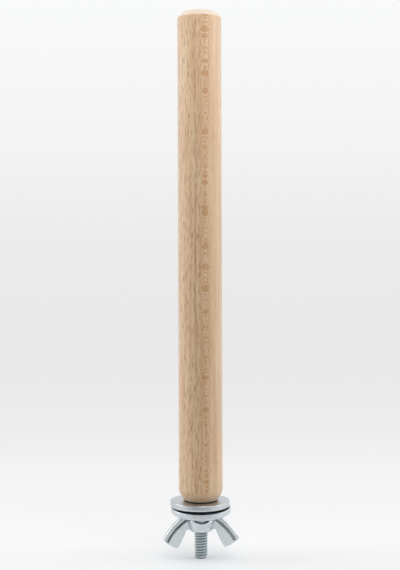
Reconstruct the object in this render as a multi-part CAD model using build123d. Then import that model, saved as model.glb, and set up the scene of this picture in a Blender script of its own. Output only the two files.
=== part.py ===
from build123d import *
import math
import os

# Bird perch: a beech dowel on a hanger bolt, held to a cage wall between two washers by a wing nut.
# Millimetres, +Z up along the dowel. The origin is on the stud's axis, on the face of the inner
# washer that presses on the cage wall, so the dowel stands above it and the stud points down.
# The camera of the photograph looks along +Y, so the front of the perch is at -Y.

# Dowel
dowel_diameter = 20.6
dowel_length = 228.6
free_end_chamfer_height = 2.7
free_end_chamfer_width = 2.3
free_end_rounding = 0.8
stud_end_taper_height = 4.2
stud_end_taper_width = 2.7
stud_end_rounding = 6.0
stud_end_edge_rounding = 2.2

# Hanger bolt: a machine thread outside the dowel, a plain neck and a wood screw inside it
stud_diameter = 6.35
stud_length = 27.0
stud_pitch = 1.27
stud_tip_height = 0.15
stud_tip_narrowing = 0.1
neck_length = 4.0
wood_screw_length = 20.0
wood_screw_pitch = 2.54
wood_screw_crest_width = 0.3
wood_screw_thread_depth = 0.95
wood_screw_point_length = 5.0
wood_fit_clearance = 0.05

# Unified thread form, in shares of the pitch, and the angle of each flank
thread_flank_angle = 30.0
crest_width_share = 0.24
root_width_share = 0.14
thread_clearance_share = 0.07
ridge_foot_share = 0.06
thread_start_angle = 180.0

# Washers: the lower edge is rolled over by the punch and the upper only broken; the outer one is bowed
washer_diameter = 27.9
washer_thickness = 2.8
washer_hole_clearance = 1.1
washer_rolled_edge = 0.9
washer_broken_edge = 0.25
inner_washer_shift_share = 0.73
outer_washer_lean = 2.1
outer_washer_bow = 0.52
closed_side_gap = 0.18
seat_clearance = 0.05
loose_clearance = 0.1

# Wing nut: heights are measured down from its bearing face
boss_wall = 1.1
shoulder_wall = 3.6
hub_end_wall = 2.05
hub_height = 7.9
hub_rounding = 1.2
shoulder_height = 1.9
scallop_depth = 1.6
scallop_width = 7.8
wing_span = 35.5
wing_depth = 15.5
flange_thickness = 1.6
flange_width = 4.4
flange_rounding = 0.6
groove_width = 0.9
groove_floor_thickness = 0.8
pad_thickness = 2.9
pad_rounding = 0.6
wing_angle = 5.5

# Wing outline: shares of half the span, outwards, and of the wing's depth, downwards
root_top_shares = (0.43, 0.02)
outer_edge_shares = (0.79, 0.375)
outer_corner_shares = (1.0, 0.73)
tip_shares = (0.83, 0.915)
inner_corner_shares = (0.62, 1.0)
inner_edge_shares = (0.49, 0.73)
crotch_shares = (0.385, 0.46)

cut_overrun = 1.0

stud_radius = stud_diameter / 2
washer_hole_radius = (stud_diameter + washer_hole_clearance) / 2
dowel_end = washer_thickness + seat_clearance
stud_end = dowel_end - stud_length
neck_top = dowel_end + neck_length
screw_tip = neck_top + wood_screw_length
flank_slope = math.tan(math.radians(thread_flank_angle))
flank_cosine = math.cos(math.radians(thread_flank_angle))
thread_depth = (1 - crest_width_share - root_width_share) / 2 * stud_pitch / flank_slope
thread_clearance = thread_clearance_share * stud_pitch
stud_root_radius = stud_radius - thread_depth
thread_start = stud_end + stud_tip_height + stud_pitch / 2
thread_top = dowel_end + stud_pitch
lean_slope = math.tan(math.radians(outer_washer_lean))
lean_cosine = math.cos(math.radians(outer_washer_lean))
boss_radius = stud_radius + boss_wall
outer_washer_rise = lean_slope * washer_diameter / 2
outer_washer_top = -closed_side_gap - outer_washer_rise
outer_washer_bottom = outer_washer_top - washer_thickness / lean_cosine
nut_face = outer_washer_bottom - lean_slope * boss_radius - loose_clearance


def turned(profile_line):
    """Turns a profile about the axis, closed by a straight line between its two ends."""
    closing_line = Line(profile_line @ 1, profile_line @ 0)
    face = make_face(Curve() + [profile_line, closing_line])
    return revolve(Plane.XZ * face, axis=Axis.Z)


def grown_crest(crest_width, clearance):
    """Width of a thread's crest after a clearance is added all round the thread."""
    return crest_width + 2 * clearance * (1 / flank_cosine - flank_slope)


def thread_ridge(pitch, start, end, root_radius, crest_radius, crest_width):
    """The ridge of a right-hand thread, wound from start to end, its foot sunk a little into the root."""
    sink = math.copysign(ridge_foot_share * pitch, crest_radius - root_radius)
    foot_radius = root_radius - sink
    foot_width = crest_width + 2 * abs(crest_radius - foot_radius) * flank_slope
    section = Polygon(
        (foot_radius, start - foot_width / 2),
        (crest_radius, start - crest_width / 2),
        (crest_radius, start + crest_width / 2),
        (foot_radius, start + foot_width / 2),
        align=None,
    )
    path = Helix(pitch, end - start, foot_radius, center=(0, 0, start))
    return sweep(Plane.XZ * section, path=path, is_frenet=True)


def wood_screw(clearance, ridge_overrun):
    """The pointed wood screw above the neck, grown by a clearance, its ridge longer at both ends."""
    root_radius = stud_radius - wood_screw_thread_depth
    point_start = screw_tip - wood_screw_point_length
    tip = screw_tip + clearance * wood_screw_point_length / root_radius
    core_radius = root_radius + clearance
    core = turned(
        Polyline((0, neck_top), (core_radius, neck_top), (core_radius, point_start), (0, tip))
    )
    ridge = thread_ridge(
        wood_screw_pitch,
        neck_top + wood_screw_pitch / 2 - ridge_overrun,
        point_start - wood_screw_pitch / 2 + ridge_overrun,
        core_radius,
        stud_radius + clearance,
        grown_crest(wood_screw_crest_width, clearance),
    )
    return core + Rot(0, 0, -360 * ridge_overrun / wood_screw_pitch) * ridge


def make_hanger_bolt():
    """Machine-threaded stud with a narrower tip, and above it the neck and the wood screw."""
    blank = turned(
        Polyline(
            (0, stud_end),
            (stud_root_radius - stud_tip_narrowing, stud_end),
            (stud_root_radius, stud_end + stud_tip_height),
            (stud_root_radius, thread_top),
            (stud_radius, thread_top),
            (stud_radius, neck_top),
            (0, neck_top),
        )
    )
    ridge = thread_ridge(
        stud_pitch,
        thread_start,
        thread_top - stud_pitch / 2,
        stud_root_radius,
        stud_radius,
        crest_width_share * stud_pitch,
    )
    return blank + Rot(0, 0, thread_start_angle) * ridge + wood_screw(0, 0)


def make_perch_rod():
    """Dowel with a chamfered free end, a rounded stud end and the hole that the screw has cut."""
    radius = dowel_diameter / 2
    top = dowel_end + dowel_length
    dowel = turned(
        FilletPolyline(
            (0, dowel_end),
            (radius - stud_end_taper_width, dowel_end),
            (radius, dowel_end + stud_end_taper_height),
            (radius, top - free_end_chamfer_height),
            (radius - free_end_chamfer_width, top),
            (0, top),
            radius=[stud_end_edge_rounding, stud_end_rounding, free_end_rounding, free_end_rounding],
        )
    )
    mouth = stud_radius + wood_fit_clearance
    below = dowel_end - cut_overrun
    entry = turned(Polyline((0, below), (mouth, below), (mouth, neck_top), (0, neck_top)))
    return dowel - (entry + wood_screw(wood_fit_clearance, wood_fit_clearance))


def make_inner_washer():
    """Washer under the dowel's end, off centre by part of the play in its hole."""
    ring = FilletPolyline(
        (washer_hole_radius, washer_thickness),
        (washer_diameter / 2, washer_thickness),
        (washer_diameter / 2, 0),
        (washer_hole_radius, 0),
        radius=[washer_broken_edge, washer_rolled_edge],
    )
    shift = inner_washer_shift_share * washer_hole_clearance / 2
    return Pos(-shift, 0, 0) * turned(ring)


def make_outer_washer():
    """Washer on the nut's side, bowed up at its left and right, which leans forward on the loose nut."""
    bow_radius = (washer_diameter / 2) ** 2 / (2 * outer_washer_bow)
    sheet = Cylinder(bow_radius + washer_thickness, washer_diameter) - Cylinder(bow_radius, washer_diameter)
    rim = Cylinder(washer_diameter / 2, bow_radius)
    hole = Cylinder(washer_hole_radius, bow_radius)
    washer = (Rot(90, 0, 0) * sheet & Pos(0, 0, -bow_radius) * rim) - Pos(0, 0, -bow_radius) * hole
    rim_edges = washer.edges().sort_by(SortBy.LENGTH)[-2:].sort_by(Axis.Z)
    washer = fillet(rim_edges[0], washer_rolled_edge)
    washer = fillet(washer.edges().sort_by(SortBy.LENGTH)[-3:].sort_by(Axis.Z)[-1], washer_broken_edge)
    washer = Pos(0, 0, bow_radius) * washer
    return Pos(0, 0, outer_washer_top) * Rot(outer_washer_lean, 0, 0) * washer


def wing_point(shares):
    """A point of the wing's outline, outwards from the axis and down from the bearing face."""
    outward, down = shares
    return Vector(outward * wing_span / 2, -down * wing_depth)


def make_wing():
    """One wing: a broad flange along its finger edge, a thick pad below it and a groove between the two."""
    root = wing_point(root_top_shares)
    outer_edge = wing_point(outer_edge_shares)
    outer_corner = wing_point(outer_corner_shares)
    inner_corner = wing_point(inner_corner_shares)
    crotch = wing_point(crotch_shares)
    finger_edge = ThreePointArc(root, outer_edge, outer_corner)
    outline = make_face(
        Curve()
        + [
            Line((0, root.Y), root),
            finger_edge,
            ThreePointArc(outer_corner, wing_point(tip_shares), inner_corner),
            ThreePointArc(inner_corner, wing_point(inner_edge_shares), crotch),
            Line(crotch, (0, crotch.Y)),
            Line((0, crotch.Y), (0, root.Y)),
        ]
    )
    centre = finger_edge.arc_center

    def band(near, far, overrun):
        """The strip between two distances from the finger edge, run past the wing's end by the overrun."""
        turn = math.degrees(overrun / finger_edge.radius)
        beyond = centre + (outer_corner - centre).rotate(Axis.Z, -turn)
        rows = []
        for distance in (near, far):
            share = 1 - distance / finger_edge.radius
            rows.append([centre + (point - centre) * share for point in (root, outer_edge, beyond)])
        upper, lower = rows
        lines = [
            Line((0, upper[0].Y), upper[0]),
            ThreePointArc(*upper),
            Line(upper[2], lower[2]),
            ThreePointArc(*reversed(lower)),
            Line(lower[0], (0, lower[0].Y)),
            Line((0, lower[0].Y), (0, upper[0].Y)),
        ]
        return make_face(Curve() + lines)

    groove_edge = flange_thickness + groove_width
    past_end = groove_edge + cut_overrun
    flange = outline & band(-cut_overrun, flange_thickness, past_end)
    pad = outline - band(-cut_overrun, groove_edge, past_end)
    groove_floor = outline & band(flange_thickness / 2, groove_edge + groove_width, past_end)
    return (
        rounded_plate(flange, flange_width, flange_rounding)
        + rounded_plate(pad, pad_thickness, pad_rounding)
        + extrude(Plane.XZ * groove_floor, groove_floor_thickness / 2, both=True)
    )


def rounded_plate(outline, thickness, rounding):
    """A plate of this outline, upright across the front, with the edges of both faces rounded."""
    plate = extrude(Plane.XZ * outline, thickness / 2, both=True)
    faces = plate.faces().sort_by(Axis.Y)
    return fillet(faces[0].edges() + faces[-1].edges(), rounding)


def nut_thread():
    """The ridge inside the nut, wound midway between the turns of the stud's thread."""
    turns_up = math.ceil((nut_face - hub_height - thread_start) / stud_pitch) + 1 / 2
    ridge = thread_ridge(
        stud_pitch,
        thread_start + turns_up * stud_pitch,
        nut_face - stud_pitch / 2,
        stud_radius + thread_clearance,
        stud_root_radius + thread_clearance,
        grown_crest(root_width_share * stud_pitch, -thread_clearance),
    )
    return Rot(0, 0, thread_start_angle) * ridge


def make_wing_nut():
    """Tapered hub, hollowed at the front and back under its bearing boss, with two wings and a thread."""
    hub_line = FilletPolyline(
        (0, -shoulder_height),
        (stud_radius + shoulder_wall, -shoulder_height),
        (stud_radius + hub_end_wall, -hub_height),
        (0, -hub_height),
        radius=hub_rounding,
    )
    scallop_bottom = shoulder_height + scallop_depth
    scallop_radius = ((scallop_width / 2) ** 2 + scallop_depth**2) / (2 * scallop_depth)
    scallop = Rot(90, 0, 0) * Cylinder(scallop_radius, washer_diameter)
    hub = turned(hub_line) - Pos(0, 0, scallop_radius - scallop_bottom) * scallop
    boss = Polyline((0, 0), (boss_radius, 0), (boss_radius, -hub_height / 2), (0, -hub_height / 2))
    nut = hub + turned(boss)
    for angle in (0, 180):
        nut += Rot(0, 0, angle) * make_wing()
    nut = Pos(0, 0, nut_face) * Rot(0, 0, wing_angle) * nut
    bore = Cylinder(stud_radius + thread_clearance, 2 * (hub_height + cut_overrun))
    return nut - Pos(0, 0, nut_face) * bore + nut_thread()


pieces = {
    "perch_rod": make_perch_rod(),
    "hanger_bolt": make_hanger_bolt(),
    "inner_washer": make_inner_washer(),
    "outer_washer": make_outer_washer(),
    "wing_nut": make_wing_nut(),
}

os.makedirs("parts", exist_ok=True)
for name, shape in pieces.items():
    export_step(shape, f"parts/{name}.step")
    print(name, round(shape.volume, 1))
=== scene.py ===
# %% [markdown]
# # Bird perch
# The solids of the perch come in as a frame that stays fixed: a beech dowel, a hanger bolt in its
# end, two washers and a wing nut. This lesson gives each of them its finish and sets up the camera,
# the floor and the light of a small product shot. All lengths are metres, +Z runs up the dowel and
# the camera looks along +Y.

# %% Load the frame
import bpy
import math
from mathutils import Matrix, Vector


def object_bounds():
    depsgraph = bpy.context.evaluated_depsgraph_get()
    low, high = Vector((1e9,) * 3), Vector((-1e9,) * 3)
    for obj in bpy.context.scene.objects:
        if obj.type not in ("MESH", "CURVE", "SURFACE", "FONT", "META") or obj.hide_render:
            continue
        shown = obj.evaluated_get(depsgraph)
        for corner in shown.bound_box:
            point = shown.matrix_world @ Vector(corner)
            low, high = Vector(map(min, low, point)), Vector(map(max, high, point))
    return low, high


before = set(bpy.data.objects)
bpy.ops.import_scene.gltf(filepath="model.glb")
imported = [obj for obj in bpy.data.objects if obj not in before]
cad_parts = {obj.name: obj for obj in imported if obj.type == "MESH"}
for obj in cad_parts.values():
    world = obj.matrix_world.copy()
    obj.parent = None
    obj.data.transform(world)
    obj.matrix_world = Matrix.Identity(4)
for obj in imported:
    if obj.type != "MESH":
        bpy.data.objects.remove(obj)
cad_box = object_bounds()
scene = bpy.context.scene
mm = 0.001
print("nodes:", sorted(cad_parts))
print("CAD box in mm:", [round(v / mm, 2) for corner in cad_box for v in corner])

# %% [markdown]
# ## Colours and nodes
# Colours are written as the hex values that a paint program shows. Blender mixes light in linear
# values, so one function turns the first into the second. A second small function adds a shader
# node with its settings, and links a socket wherever a socket is given in place of a number.

# %% Two helpers
def linear(hex_colour):
    """The linear RGBA of an sRGB hex colour."""
    channels = [int(hex_colour[i:i + 2], 16) / 255 for i in (1, 3, 5)]
    return [c / 12.92 if c <= 0.04045 else ((c + 0.055) / 1.055) ** 2.4 for c in channels] + [1.0]


def add_node(tree, kind, inputs=None, **settings):
    """Adds a node, sets its properties, and fills or links its input sockets."""
    node = tree.nodes.new(kind)
    for name, value in settings.items():
        setattr(node, name, value)
    for socket, value in (inputs or {}).items():
        if isinstance(value, bpy.types.NodeSocket):
            tree.links.new(value, node.inputs[socket])
        else:
            node.inputs[socket].default_value = value
    return node


print("white in linear:", linear("#ffffff"))

# %% [markdown]
# ## Camera
# The photograph was taken level, from a little more than half a metre away and at about half the
# perch's height: the top of the dowel is seen slightly from below and the washers from above. The
# image is 400 by 570 pixels, and the lens is worked out from its focal length in pixels. Tilting the
# camera would also frame the perch, but then the dowel's sides would run together. So the camera
# stays level and a shift lowers the frame.

# %% Camera
image_height = 570
focal_pixels = 1137
horizon_row = 248
camera_distance = 0.5335
camera_height = 0.121
camera_roll = math.radians(0.187)

camera_data = bpy.data.cameras.new("camera")
camera_data.sensor_width = 36
camera_data.lens = focal_pixels / image_height * camera_data.sensor_width
camera_data.shift_y = (horizon_row - image_height / 2) / image_height
camera = bpy.data.objects.new("camera", camera_data)
camera.location = (0, -camera_distance, camera_height)
camera.rotation_euler = (math.radians(90), camera_roll, 0)
scene.collection.objects.link(camera)
scene.camera = camera
print("lens in mm:", round(camera_data.lens, 2), "shift:", round(camera_data.shift_y, 4))

# %% [markdown]
# ## Paper sweep
# The perch stands on a pale paper sweep: a floor that curves up into a backdrop, so that no line
# shows behind the object. A plane with a bend on it could make one. Here it is a single strip of
# faces along a profile of floor, quarter circle and wall, because each length then has a name. The
# paper ends a hand's breadth in front of the perch, and what the washers' rims reflect beyond it is
# darker.

# %% Sweep
floor_level = cad_box[0].z
paper_edge = -0.105
sweep_start = 0.14
sweep_radius = 0.22
sweep_height = 1.4
sweep_half_width = 1.6
curve_steps = 24

profile = [(paper_edge, 0.0), (sweep_start, 0.0)]
for step in range(1, curve_steps + 1):
    angle = math.radians(90 * step / curve_steps)
    back, up = sweep_radius * math.sin(angle), sweep_radius * (1 - math.cos(angle))
    profile.append((sweep_start + back, up))
profile.append((sweep_start + sweep_radius, sweep_height))

sides = (-sweep_half_width, sweep_half_width)
vertices = [(x, y, floor_level + z) for y, z in profile for x in sides]
faces = [(2 * i, 2 * i + 1, 2 * i + 3, 2 * i + 2) for i in range(len(profile) - 1)]
sweep_mesh = bpy.data.meshes.new("paper_sweep")
sweep_mesh.from_pydata(vertices, [], faces)
sweep_mesh.polygons.foreach_set("use_smooth", [True] * len(faces))
sweep = bpy.data.objects.new("paper_sweep", sweep_mesh)
scene.collection.objects.link(sweep)
print("sweep faces:", len(sweep_mesh.polygons), "floor at mm:", round(floor_level / mm, 2))

# %% [markdown]
# Matte paper scatters light evenly, so close to the perch it is mostly a plain diffuse surface that
# takes the soft shadow. Up the curve the light on the paper fades gently from light grey to white.
# Light alone could give that fade, but it would also change the perch. So that grey fade is painted
# shade on the paper, which goes by height and is given to the rays that come from the camera or
# from a reflection in the metal, while all other rays see diffuse paper. Seen from its back the
# paper is clear, so that the perch can be looked at from every side.

# %% Paper
tone_height = 0.34
near_paper = 0.05
near_share = 0.25

paper = bpy.data.materials.new("matte white paper")
paper.use_nodes = True
tree = paper.node_tree
tree.nodes.clear()
place = add_node(tree, "ShaderNodeTexCoord")
parts = add_node(tree, "ShaderNodeSeparateXYZ", {"Vector": place.outputs["Object"]})
up_the_wall = add_node(
    tree, "ShaderNodeMapRange",
    {"Value": parts.outputs["Z"], "From Min": floor_level, "From Max": floor_level + tone_height},
)
# This ramp is painted shade: its grey dip up the curve stands in for how the light falls off there.
tone = add_node(tree, "ShaderNodeValToRGB", {"Fac": up_the_wall.outputs["Result"]})
tones = tone.color_ramp.elements
tones[0].color = linear("#f5f5f5")
tones[1].position, tones[1].color = 1.0, linear("#f9fafa")
steps = ((0.06, "#ededed"), (0.19, "#e8e8e8"), (0.43, "#ebebeb"), (0.67, "#f3f3f3"))
for position, colour in steps:
    tones.new(position).color = linear(colour)
lit = add_node(tree, "ShaderNodeBsdfDiffuse", {"Color": linear("#f2f2f2")})
shown = add_node(tree, "ShaderNodeEmission", {"Color": tone.outputs["Color"], "Strength": 1.0})
print("paper tones:", len(tones))

# %% [markdown]
# The paper's painted tone belongs to what the camera sees, directly, in metal or through glass, so
# three kinds of rays are picked out. Their share grows from a quarter near the perch to all of it
# where the curve begins, because the floor near the perch has to keep its shadow; the quarter near
# the perch paints light into that shadow and makes it paler.

# %% Rays that see the paper's tone
ray = add_node(tree, "ShaderNodeLightPath")
seen = add_node(
    tree, "ShaderNodeMath",
    {0: ray.outputs["Is Camera Ray"], 1: ray.outputs["Is Glossy Ray"]}, operation="MAXIMUM",
)
seen = add_node(
    tree, "ShaderNodeMath",
    {0: seen.outputs[0], 1: ray.outputs["Is Transmission Ray"]}, operation="MAXIMUM",
)
far = add_node(
    tree, "ShaderNodeMapRange",
    {"Value": parts.outputs["Y"], "From Min": near_paper, "From Max": sweep_start,
     "To Min": near_share},
    interpolation_type="SMOOTHSTEP",
)
share = add_node(
    tree, "ShaderNodeMath", {0: seen.outputs[0], 1: far.outputs["Result"]}, operation="MULTIPLY"
)
mixed = add_node(
    tree, "ShaderNodeMixShader", {0: share.outputs[0], 1: lit.outputs[0], 2: shown.outputs[0]}
)
side = add_node(tree, "ShaderNodeNewGeometry")
clear = add_node(tree, "ShaderNodeBsdfTransparent")
one_sided = add_node(
    tree, "ShaderNodeMixShader",
    {0: side.outputs["Backfacing"], 1: mixed.outputs[0], 2: clear.outputs[0]},
)
add_node(tree, "ShaderNodeOutputMaterial", {"Surface": one_sided.outputs[0]})
sweep_mesh.materials.append(paper)
print("paper nodes:", len(tree.nodes))

# %% [markdown]
# ## Light
# The light is that of a light tent: white from all sides, with a darker patch on the camera's side.
# That patch draws the grey middle of the upper washer's rim, and it leaves the front of the dowel a
# little darker than its sides. A photograph of a room could light the scene, but a tent is so plain
# that one direction and two tones describe it.

# %% Tent
patch_direction = (0.0, -0.98, 0.2)
patch_edge, patch_core = 0.35, 0.95
tent_strength = 0.88

world = bpy.data.worlds.new("light tent")
scene.world = world
world.use_nodes = True
tree = world.node_tree
tree.nodes.clear()
direction = add_node(tree, "ShaderNodeTexCoord")
facing = add_node(
    tree, "ShaderNodeVectorMath",
    {0: direction.outputs["Generated"], 1: patch_direction}, operation="DOT_PRODUCT",
)
front = add_node(
    tree, "ShaderNodeMapRange",
    {"Value": facing.outputs["Value"], "From Min": patch_edge, "From Max": patch_core},
    interpolation_type="SMOOTHSTEP",
)
tent = add_node(
    tree, "ShaderNodeMix",
    {0: front.outputs["Result"], 6: linear("#e4e7ea"), 7: linear("#7a7a7d")}, data_type="RGBA",
)
light = add_node(
    tree, "ShaderNodeBackground", {"Color": tent.outputs[2], "Strength": tent_strength}
)
add_node(tree, "ShaderNodeOutputWorld", {"Surface": light.outputs[0]})
print("tent nodes:", len(tree.nodes))

# %% [markdown]
# Large soft lamps, one at each side and one above, give the tent its bright panels, and a small one
# in front lifts the top of the dowel. Most of the light comes from the sides, because the shadow in
# the photograph is long to the left and right and thin from front to back. Each lamp is a square
# panel that is turned towards the perch.

# %% Lamps
aim = Vector((0, 0, 0.2))
lamps = {
    "left panel": ((-0.75, 0.06, 0.4), 0.45, 2.4),
    "right panel": ((0.75, 0.06, 0.4), 0.45, 1.65),
    "top panel": ((0.0, 0.12, 0.75), 0.6, 0.9),
    "front panel": ((0.05, -0.18, 0.34), 0.25, 0.38),
}
for name, (position, size, power) in lamps.items():
    lamp = bpy.data.lights.new(name, "AREA")
    lamp.size = size
    lamp.energy = power
    panel = bpy.data.objects.new(name, lamp)
    panel.location = position
    panel.rotation_euler = (aim - panel.location).to_track_quat("-Z", "Y").to_euler()
    scene.collection.objects.link(panel)
scene.view_settings.view_transform = "Standard"
print("lamps:", list(lamps))

# %% [markdown]
# ## Beech
# Beech is pale, pinkish brown and even. Two things tell the eye that it is beech: short dark dashes
# along the grain, which are the cut ends of its rays, and fine growth lines. Where the dowel's side
# just grazes the growth layers, the lines close into a column of small nested ovals. A flat pattern
# could be wrapped round the dowel, but it would show a seam. So all of it is worked out in solid
# space, in millimetres, and the grain runs through the wood. The growth layers are flat sheets that
# wave gently along the dowel and face a little to the right of the camera, which puts the ovals
# there.

# %% Growth layers
layer_facing = math.radians(14.3)
layer_normal = (math.sin(layer_facing), -math.cos(layer_facing), 0.0)
layer_along = (math.cos(layer_facing), math.sin(layer_facing), 0.0)
layer_thickness = 0.24
wave_width, wave_length, wave_height = 33.33, 3.846, 2.0

beech = bpy.data.materials.new("sanded beech")
beech.use_nodes = True
tree = beech.node_tree
tree.nodes.clear()
place = add_node(tree, "ShaderNodeTexCoord")
grain = add_node(
    tree, "ShaderNodeMapping", {"Vector": place.outputs["Object"], "Scale": [1 / mm] * 3}
)
depth = add_node(
    tree, "ShaderNodeVectorMath", {0: grain.outputs[0], 1: layer_normal}, operation="DOT_PRODUCT"
)
across = add_node(
    tree, "ShaderNodeVectorMath", {0: grain.outputs[0], 1: layer_along}, operation="DOT_PRODUCT"
)
wave_place = add_node(
    tree, "ShaderNodeMapping",
    {"Vector": grain.outputs[0], "Scale": (1 / wave_width, 1 / wave_width, 1 / wave_length)},
)
wave = add_node(
    tree, "ShaderNodeTexNoise",
    {"Vector": wave_place.outputs[0], "Scale": 1.0, "Detail": 1.5, "Roughness": 0.5},
)
waved = add_node(
    tree, "ShaderNodeMath",
    {0: wave.outputs["Fac"], 1: wave_height, 2: depth.outputs["Value"]}, operation="MULTIPLY_ADD",
)
layer = add_node(
    tree, "ShaderNodeMath", {0: waved.outputs[0], 1: layer_thickness}, operation="DIVIDE"
)
print("growth layers every", layer_thickness, "mm, waves every", wave_length, "mm")

# %% [markdown]
# Each growth layer ends in a thin line of darker late wood, and no two layers have the same tone. A
# random number for each layer gives that tone. Where the wave crests, the darker layers fill the
# ovals, and elsewhere only the lines are drawn. Away from the ovals the lines would be finer than a
# pixel, so they are kept to a strip where the layers lie nearly flat on the dowel's side.

# %% Ovals
crest_level, crest_fade = 11.38, 0.04
strip_start, strip_full = 9.9, 10.12

layer_part = add_node(tree, "ShaderNodeMath", {0: layer.outputs[0]}, operation="FRACT")
layer_number = add_node(tree, "ShaderNodeMath", {0: layer.outputs[0]}, operation="FLOOR")
layer_tone = add_node(
    tree, "ShaderNodeTexWhiteNoise", {"W": layer_number.outputs[0]}, noise_dimensions="1D"
)
dark_layer = add_node(
    tree, "ShaderNodeMapRange",
    {"Value": layer_tone.outputs["Value"], "From Min": 0.3, "From Max": 0.7, "To Max": 0.68},
    interpolation_type="SMOOTHSTEP",
)
crest = add_node(
    tree, "ShaderNodeMapRange",
    {"Value": waved.outputs[0], "From Min": crest_level, "From Max": crest_level + crest_fade},
    interpolation_type="SMOOTHSTEP",
)
filled = add_node(
    tree, "ShaderNodeMath",
    {0: dark_layer.outputs["Result"], 1: crest.outputs["Result"]}, operation="MULTIPLY",
)
line = add_node(
    tree, "ShaderNodeMapRange",
    {"Value": layer_part.outputs[0], "From Min": 0.5, "From Max": 0.9, "To Max": 0.5},
    interpolation_type="SMOOTHSTEP",
)
marked = add_node(
    tree, "ShaderNodeMath", {0: filled.outputs[0], 1: line.outputs["Result"]}, operation="MAXIMUM"
)
strip = add_node(
    tree, "ShaderNodeMapRange",
    {"Value": depth.outputs["Value"], "From Min": strip_start, "From Max": strip_full},
    interpolation_type="SMOOTHSTEP",
)
late_strength = add_node(
    tree, "ShaderNodeMath", {0: marked.outputs[0], 1: strip.outputs["Result"]},
    operation="MULTIPLY",
)
print("ovals from", strip_start, "mm in front of the dowel's axis")

# %% [markdown]
# The dashes are long Voronoi cells whose length lies along the grain, a little bent by a noise.
# Drawn strokes would repeat, while cells never do. Each cell draws its own strength from the cell's
# random colour, and they thin out to the right, where the photograph shows few of them. Real dashes
# are narrower; these are as coarse as they need to be to show.

# %% Dashes
dash_width, dash_length = 0.4545, 4.348
dash_right, dash_left = 4.0, -3.0

dash_place = add_node(
    tree, "ShaderNodeMapping",
    {"Vector": grain.outputs[0], "Scale": (1 / dash_width, 1 / dash_width, 1 / dash_length)},
)
dash_bend = add_node(
    tree, "ShaderNodeTexNoise", {"Vector": dash_place.outputs[0], "Scale": 0.6, "Detail": 1.0}
)
dash_moved = add_node(
    tree, "ShaderNodeVectorMath",
    {0: dash_bend.outputs["Color"], 1: (0.5, 0.5, 0.5), 2: dash_place.outputs[0]},
    operation="MULTIPLY_ADD",
)
dashes = add_node(tree, "ShaderNodeTexVoronoi", {"Vector": dash_moved.outputs[0], "Scale": 1.0})
dash_core = add_node(
    tree, "ShaderNodeMapRange",
    {"Value": dashes.outputs["Distance"], "From Min": 0.55, "From Max": 0.28},
    interpolation_type="SMOOTHSTEP",
)
dash_tone = add_node(tree, "ShaderNodeSeparateColor", {"Color": dashes.outputs["Color"]})
dash_share = add_node(
    tree, "ShaderNodeMapRange", {"Value": dash_tone.outputs[0], "From Min": 0.1, "To Max": 0.66}
)
dash_side = add_node(
    tree, "ShaderNodeMapRange",
    {"Value": across.outputs["Value"], "From Min": dash_right, "From Max": dash_left,
     "To Min": 0.35},
    interpolation_type="SMOOTHSTEP",
)
dash_strength = add_node(
    tree, "ShaderNodeMath",
    {0: dash_core.outputs["Result"], 1: dash_share.outputs["Result"]}, operation="MULTIPLY",
)
dash_strength = add_node(
    tree, "ShaderNodeMath",
    {0: dash_strength.outputs[0], 1: dash_side.outputs["Result"]}, operation="MULTIPLY",
)
print("dashes in mm:", dash_width, "by", dash_length)

# %% [markdown]
# Left of the middle, a broken dark vein runs down the whole dowel. It is a thin band round one line
# along the grain, which a noise bends to and fro, and the dashes' own noise breaks it up.

# %% Vein
vein_middle = -3.5
vein_half_width, vein_core_width = 0.55, 0.1
vein_bend_length, vein_bend_width = 11.11, 2.0

vein_place = add_node(
    tree, "ShaderNodeMapping",
    {"Vector": grain.outputs[0], "Scale": (0.0, 0.0, 1 / vein_bend_length)},
)
vein_bend = add_node(
    tree, "ShaderNodeTexNoise", {"Vector": vein_place.outputs[0], "Scale": 1.0, "Detail": 3.0}
)
vein_across = add_node(
    tree, "ShaderNodeMath",
    {0: vein_bend.outputs["Fac"], 1: vein_bend_width, 2: across.outputs["Value"]},
    operation="MULTIPLY_ADD",
)
vein_off = add_node(
    tree, "ShaderNodeMath", {0: vein_across.outputs[0], 1: vein_middle}, operation="SUBTRACT"
)
vein_off = add_node(tree, "ShaderNodeMath", {0: vein_off.outputs[0]}, operation="ABSOLUTE")
vein_core = add_node(
    tree, "ShaderNodeMapRange",
    {"Value": vein_off.outputs[0], "From Min": vein_half_width, "From Max": vein_core_width,
     "To Max": 0.45},
    interpolation_type="SMOOTHSTEP",
)
vein_share = add_node(
    tree, "ShaderNodeMapRange",
    {"Value": dash_bend.outputs["Fac"], "From Min": 0.38, "From Max": 0.62},
    interpolation_type="SMOOTHSTEP",
)
vein_strength = add_node(
    tree, "ShaderNodeMath",
    {0: vein_core.outputs["Result"], 1: vein_share.outputs["Result"]}, operation="MULTIPLY",
)
print("vein at mm:", vein_middle)

# %% [markdown]
# Dashes and vein are joined into one mask of dark marks. It fades on the ovals, which show hardly
# any dashes, and on the rounded end, which was sanded across the grain and is plain.

# %% Dark marks
rounding_end, rounding_fade = 6.5, 2.0

dark_strength = add_node(
    tree, "ShaderNodeMath",
    {0: dash_strength.outputs[0], 1: vein_strength.outputs[0]}, operation="MAXIMUM",
)
beside_ovals = add_node(
    tree, "ShaderNodeMapRange", {"Value": strip.outputs["Result"], "To Min": 1.0, "To Max": 0.15}
)
dark_strength = add_node(
    tree, "ShaderNodeMath",
    {0: dark_strength.outputs[0], 1: beside_ovals.outputs["Result"]}, operation="MULTIPLY",
)
height = add_node(tree, "ShaderNodeSeparateXYZ", {"Vector": grain.outputs[0]})
above_rounding = add_node(
    tree, "ShaderNodeMapRange",
    {"Value": height.outputs["Z"], "From Min": rounding_end - rounding_fade,
     "From Max": rounding_end, "To Min": 0.15},
)
dark_strength = add_node(
    tree, "ShaderNodeMath",
    {0: dark_strength.outputs[0], 1: above_rounding.outputs["Result"]}, operation="MULTIPLY",
)
print("marks fade below", rounding_end, "mm")
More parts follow.
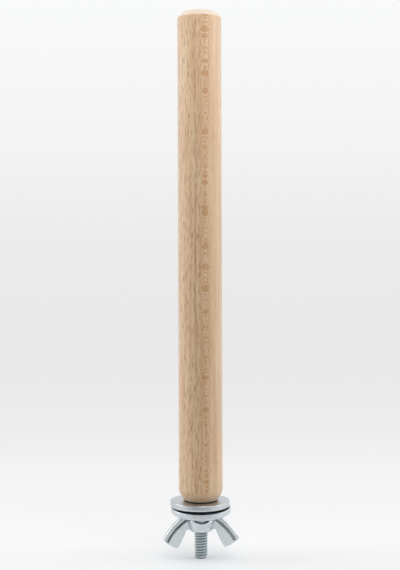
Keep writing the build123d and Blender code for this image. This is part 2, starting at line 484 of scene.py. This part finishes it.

# %% [markdown]
# One long stretched noise gives the body of the wood its soft streaks. Over it go the late wood and
# the dark marks. Above the chamfer's start the colour is mixed towards a pale cream, so the chamfer
# at the free end is paler than the sides.

# %% Wood colours
streak_width, streak_length = 1.4286, 45.45
chamfer_start, chamfer_fade = 228.6, 0.6

streak_place = add_node(
    tree, "ShaderNodeMapping",
    {"Vector": grain.outputs[0], "Scale": (1 / streak_width, 1 / streak_width, 1 / streak_length)},
)
streak = add_node(
    tree, "ShaderNodeTexNoise",
    {"Vector": streak_place.outputs[0], "Scale": 1.0, "Detail": 4.0, "Roughness": 0.6},
)
body_colour = add_node(tree, "ShaderNodeValToRGB", {"Fac": streak.outputs["Fac"]})
body_tones = body_colour.color_ramp.elements
body_tones[0].position, body_tones[0].color = 0.3, linear("#d3a980")
body_tones[1].position, body_tones[1].color = 0.7, linear("#e4c8a4")
ringed = add_node(
    tree, "ShaderNodeMix",
    {0: late_strength.outputs[0], 6: body_colour.outputs["Color"], 7: linear("#b67731")},
    data_type="RGBA",
)
dashed = add_node(
    tree, "ShaderNodeMix",
    {0: dark_strength.outputs[0], 6: ringed.outputs[2], 7: linear("#8a4a1c")}, data_type="RGBA",
)
chamfer_paling = add_node(
    tree, "ShaderNodeMapRange",
    {"Value": height.outputs["Z"], "From Min": chamfer_start,
     "From Max": chamfer_start + chamfer_fade, "To Max": 0.6},
)
faded = add_node(
    tree, "ShaderNodeMix",
    {0: chamfer_paling.outputs["Result"], 6: dashed.outputs[2], 7: linear("#e4d8ca")},
    data_type="RGBA",
)
print("streaks in mm:", streak_width, "by", streak_length)

# %% [markdown]
# Sanded wood without varnish is half matte, and its loose fibres give the edges a faint velvet
# light, which is what sheen is for. The fibres' relief is real beech grain made coarser, a quarter
# of a millimetre wide, because the true pores are far too fine to show.

# %% Wood surface
fibre_width, fibre_length, fibre_depth = 0.25, 8.333, 0.05

fibre_place = add_node(
    tree, "ShaderNodeMapping",
    {"Vector": grain.outputs[0], "Scale": (1 / fibre_width, 1 / fibre_width, 1 / fibre_length)},
)
fibre = add_node(
    tree, "ShaderNodeTexNoise", {"Vector": fibre_place.outputs[0], "Scale": 1.0, "Detail": 3.0}
)
relief = add_node(
    tree, "ShaderNodeBump",
    {"Height": fibre.outputs["Fac"], "Strength": 0.25, "Distance": fibre_depth * mm},
)
wood = add_node(
    tree, "ShaderNodeBsdfPrincipled",
    {
        "Base Color": faded.outputs[2], "Roughness": 0.52, "IOR": 1.5, "Sheen Weight": 0.42,
        "Normal": relief.outputs["Normal"],
    },
)
add_node(tree, "ShaderNodeOutputMaterial", {"Surface": wood.outputs[0]})
print("beech nodes:", len(tree.nodes))

# %% [markdown]
# ## Zinc-plated steel
# Washers, nut and stud are steel under a thin bright layer of zinc: a metal with a cool, slightly
# blue tone and a fine grain from the plating bath. Zinc reflects about two thirds of the light, and
# its gloss is soft. One function makes the four finishes, because they differ only in tone, gloss,
# the size of the grain and the depth of a painted shade: bright or dull sheet, a forged surface
# under the plating, and a rolled thread. Where nearby surfaces close off the air, shade is painted
# into the tone as a darker colour: under the dowel's end, in the grooves of the wings, between the
# turns of the thread and round the hub.

# %% Zinc plating
cloud_size = 4.0
crevice_reach = 1.2


def zinc_plate(name, bright, dull, painted_shade_colour, roughness, grain_size, grain_depth):
    """Zinc plating with a grain of this size, in millimetres, and a gloss that varies in clouds."""
    material = bpy.data.materials.new(name)
    material.use_nodes = True
    tree = material.node_tree
    tree.nodes.clear()
    place = add_node(tree, "ShaderNodeTexCoord")
    fine = add_node(
        tree, "ShaderNodeTexNoise",
        {"Vector": place.outputs["Object"], "Scale": 1 / (grain_size * mm), "Detail": 3.0,
         "Roughness": 0.6},
    )
    cloud = add_node(
        tree, "ShaderNodeTexNoise",
        {"Vector": place.outputs["Object"], "Scale": 1 / (cloud_size * mm), "Detail": 3.0},
    )
    both = add_node(
        tree, "ShaderNodeMath",
        {0: fine.outputs["Fac"], 1: cloud.outputs["Fac"]}, operation="MULTIPLY",
    )
    spread = add_node(
        tree, "ShaderNodeMapRange",
        {"Value": both.outputs[0], "From Min": 0.12, "From Max": 0.38},
    )
    tone = add_node(
        tree, "ShaderNodeMix",
        {0: spread.outputs["Result"], 6: linear(dull), 7: linear(bright)}, data_type="RGBA",
    )
    # Painted shade: where the AO finds nearby surfaces, the tone is mixed towards a darker colour
    # that stands in for the shade of the crevice.
    open_air = add_node(
        tree, "ShaderNodeAmbientOcclusion", {"Distance": crevice_reach * mm}, samples=8
    )
    painted_shade_share = add_node(
        tree, "ShaderNodeMapRange",
        {"Value": open_air.outputs["AO"], "From Min": 0.75, "From Max": 0.35},
    )
    shade_painted_tone = add_node(
        tree, "ShaderNodeMix",
        {0: painted_shade_share.outputs["Result"], 6: tone.outputs[2], 7: linear(painted_shade_colour)}, data_type="RGBA",
    )
    gloss = add_node(
        tree, "ShaderNodeMapRange",
        {"Value": cloud.outputs["Fac"], "From Min": 0.3, "From Max": 0.7,
         "To Min": roughness * 0.8, "To Max": roughness * 1.25},
    )
    relief = add_node(
        tree, "ShaderNodeBump",
        {"Height": fine.outputs["Fac"], "Strength": 0.5, "Distance": grain_depth * mm},
    )
    plated = add_node(
        tree, "ShaderNodeBsdfPrincipled",
        {"Base Color": shade_painted_tone.outputs[2], "Metallic": 1.0, "Roughness": gloss.outputs["Result"],
         "Normal": relief.outputs["Normal"]},
    )
    add_node(tree, "ShaderNodeOutputMaterial", {"Surface": plated.outputs[0]})
    print(name, "nodes:", len(tree.nodes))
    return material


# The fourth colour of each finish is its painted crevice shade, darkest on the nut and on the inner
# washer under the dowel's end.
inner_zinc = zinc_plate(
    "zinc-plated steel, bright", "#d8dde0", "#c0c7cb", "#55575a", 0.3, 0.5, 0.01
)
outer_zinc = zinc_plate("zinc-plated steel, dull", "#e0e5e8", "#cad1d5", "#a4a9ad", 0.42, 0.5, 0.01)
nut_zinc = zinc_plate("zinc-plated forged steel", "#e0e6e8", "#c8cfd2", "#4a4d50", 0.27, 0.6, 0.02)
stud_zinc = zinc_plate("zinc-plated rolled thread", "#dfe8eb", "#bcc8cc", "#6f7b7f", 0.3, 0.4, 0.01)

# %% [markdown]
# ## Finishes on the pieces
# Every solid shows as it is: the threads, the grooves of the wings and the roundings are all in its
# own mesh. So each one only needs its finish, which goes on the whole piece.

# %% Finishes
finishes = {
    "perch_rod": beech,
    "hanger_bolt": stud_zinc,
    "inner_washer": inner_zinc,
    "outer_washer": outer_zinc,
    "wing_nut": nut_zinc,
}
for name, material in finishes.items():
    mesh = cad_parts[name].data
    mesh.materials.clear()
    mesh.materials.append(material)
    print(name, "faces:", len(mesh.polygons), "finish:", material.name)
